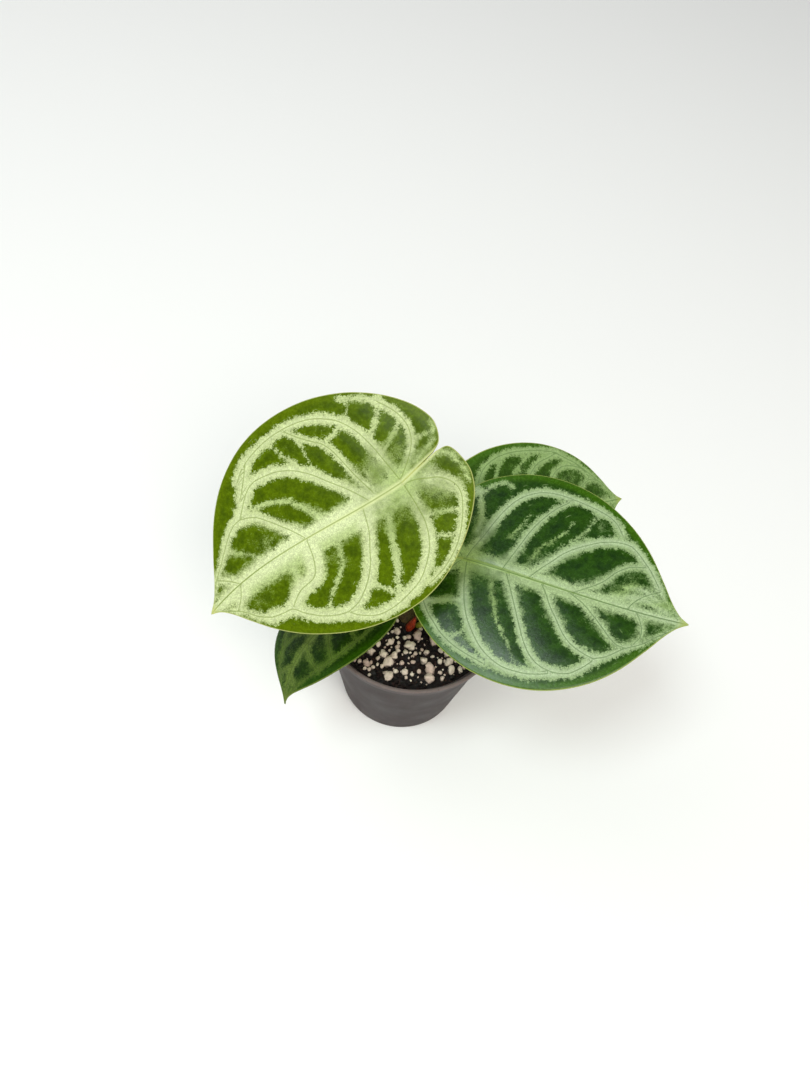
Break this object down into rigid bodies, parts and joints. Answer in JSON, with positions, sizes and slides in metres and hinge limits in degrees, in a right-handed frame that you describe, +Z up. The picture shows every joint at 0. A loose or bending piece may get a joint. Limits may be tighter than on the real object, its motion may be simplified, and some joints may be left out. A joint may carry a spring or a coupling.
{
  "type": "potted silver blush anthurium",
  "caption": "Young aroid house plant with heart-shaped, silver-veined green leaves on slim stalks, growing in a small tapered nursery pot of dark soil with white perlite.",
  "frame": {"origin": "middle of the pot's flat base, on the surface that it stands on", "axes": "+Z up; -Y is the front, towards the viewer; +X is to the right seen from the front"},
  "size_m": [0.1879, 0.1221, 0.1661],
  "materials": {
    "pot_plastic": "thin moulded translucent mauve-grey plastic, satin",
    "soil_mix": "dark damp bark and peat with white perlite, matte",
    "crown_bark": "short green-brown stem, matte",
    "blade_young": "living leaf, yellow-green with pale silver veins, satin",
    "blade_mature": "living leaf, deep green with silver veins, satin",
    "leaf_stalk": "living olive-green stalk, satin",
    "new_growth": "living red new leaf, satin",
    "green_sheath": "living olive sheath, satin",
    "dry_sheath": "dry papery brown sheath, matte"
  },
  "bodies": {
    "root": {"pot": "pot_plastic", "soil": "soil_mix", "crown": "crown_bark", "blade_front_left": "blade_young", "blade_right": "blade_mature", "blade_back_right": "blade_mature", "blade_left": "blade_mature", "stalk_front_left": "leaf_stalk", "stalk_right": "leaf_stalk", "stalk_back_right": "leaf_stalk", "stalk_left": "leaf_stalk", "new_leaf_bud": "new_growth", "green_sheath": "green_sheath", "dry_sheath": "dry_sheath"}
  },
  "joints": []
}
